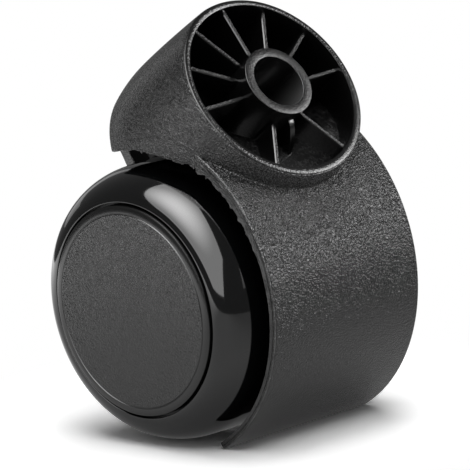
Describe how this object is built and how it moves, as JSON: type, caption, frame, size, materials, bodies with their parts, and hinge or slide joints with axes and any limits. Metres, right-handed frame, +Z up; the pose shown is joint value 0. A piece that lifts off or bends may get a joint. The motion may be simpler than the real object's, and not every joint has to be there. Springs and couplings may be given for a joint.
{
  "type": "chair caster wheel",
  "caption": "Hooded caster for an office chair: two wheels on one axle under a half-round hood, with a ribbed cup and a bore for a push-in stem.",
  "frame": {"origin": "centre of the mouth of the stem bore, on the end face of the boss", "axes": "+Z up along the stem, +X level from the stem towards the trailing axle, +Y along the axle towards the right wheel when the caster rolls forward along -X"},
  "size_m": [0.0678, 0.0488, 0.0621],
  "materials": {
    "housing_nylon": "satin charcoal nylon with a fine spark-eroded grain",
    "tyre_gloss": "polished black",
    "cap_plastic": "fine leather-like grain with a smooth sloping border",
    "wheel_nylon": "plain moulded",
    "axle_steel": "bright drawn steel",
    "nut_zinc": "zinc-plated spring steel",
    "acetal": "natural acetal"
  },
  "bodies": {
    "frame": {"housing": "housing_nylon", "axle_pin": "axle_steel", "left_thrust_washer": "acetal", "right_thrust_washer": "acetal", "left_push_nut": "nut_zinc", "right_push_nut": "nut_zinc"},
    "left_wheel": {"left_wheel_core": "wheel_nylon", "left_tyre": "tyre_gloss", "left_hub_cap": "cap_plastic", "left_wheel_bush": "acetal"},
    "right_wheel": {"right_wheel_core": "wheel_nylon", "right_tyre": "tyre_gloss", "right_hub_cap": "cap_plastic", "right_wheel_bush": "acetal"}
  },
  "joints": [
    {"name": "left_wheel_spin", "type": "hinge", "parent": "frame", "child": "left_wheel", "pos_m": [0.0198, -0.0156, -0.0371], "axis": [0, 1, 0], "continuous": true},
    {"name": "right_wheel_spin", "type": "hinge", "parent": "frame", "child": "right_wheel", "pos_m": [0.0198, 0.0156, -0.0371], "axis": [0, 1, 0], "continuous": true}
  ]
}
